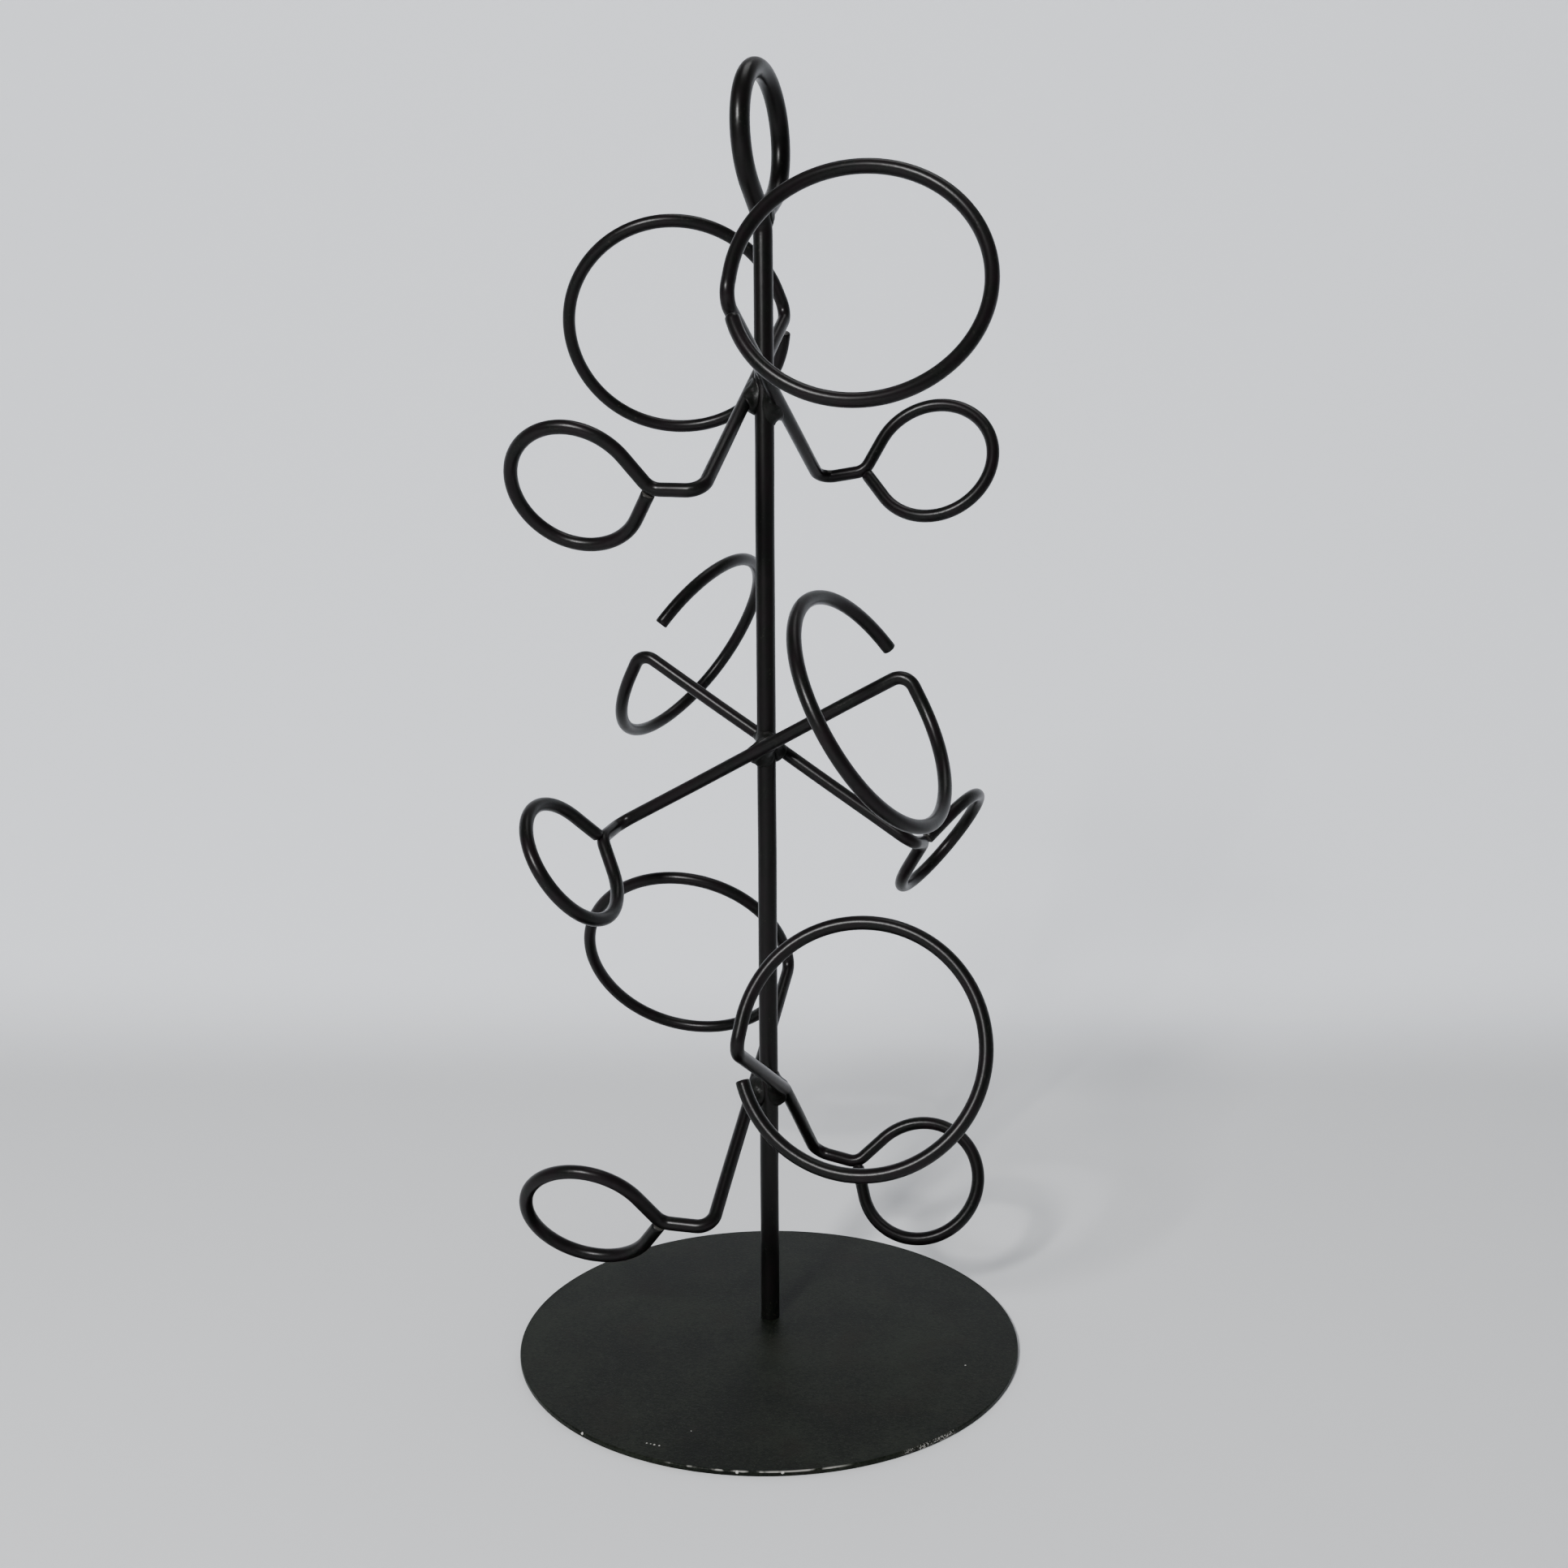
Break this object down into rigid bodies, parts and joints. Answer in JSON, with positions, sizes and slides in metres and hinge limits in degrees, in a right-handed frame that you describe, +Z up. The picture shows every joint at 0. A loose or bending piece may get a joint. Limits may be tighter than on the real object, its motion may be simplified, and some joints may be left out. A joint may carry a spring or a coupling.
{
  "type": "wine bottle tree",
  "caption": "Black painted steel wire tree with a round plate, a post bent into a hand loop, and bent-wire holders with a large and a small ring for tilted bottles.",
  "frame": {"origin": "middle of the round plate's underside, which rests on the table", "axes": "+Z up along the post, +Y to the back, where the post stands behind the plate's middle, +X to the right"},
  "size_m": [0.25, 0.2814, 0.6219],
  "materials": {
    "plate_paint": "matte, finely mottled",
    "post_paint": "satin",
    "wire_paint": "satin to semi-gloss",
    "weld_paint": "satin over weld metal"
  },
  "bodies": {
    "root": {"base_plate": "plate_paint", "post": "post_paint", "handle_weld": "weld_paint", "foot_weld": "weld_paint", "top_right_holder": "wire_paint", "top_right_upper_weld": "weld_paint", "top_right_lower_weld": "weld_paint", "top_left_holder": "wire_paint", "top_left_upper_weld": "weld_paint", "top_left_lower_weld": "weld_paint", "middle_front_holder": "wire_paint", "middle_front_upper_weld": "weld_paint", "middle_front_lower_weld": "weld_paint", "middle_back_holder": "wire_paint", "middle_back_upper_weld": "weld_paint", "middle_back_lower_weld": "weld_paint", "bottom_right_holder": "wire_paint", "bottom_right_upper_weld": "weld_paint", "bottom_right_lower_weld": "weld_paint", "bottom_left_holder": "wire_paint", "bottom_left_upper_weld": "weld_paint", "bottom_left_lower_weld": "weld_paint"}
  },
  "joints": []
}
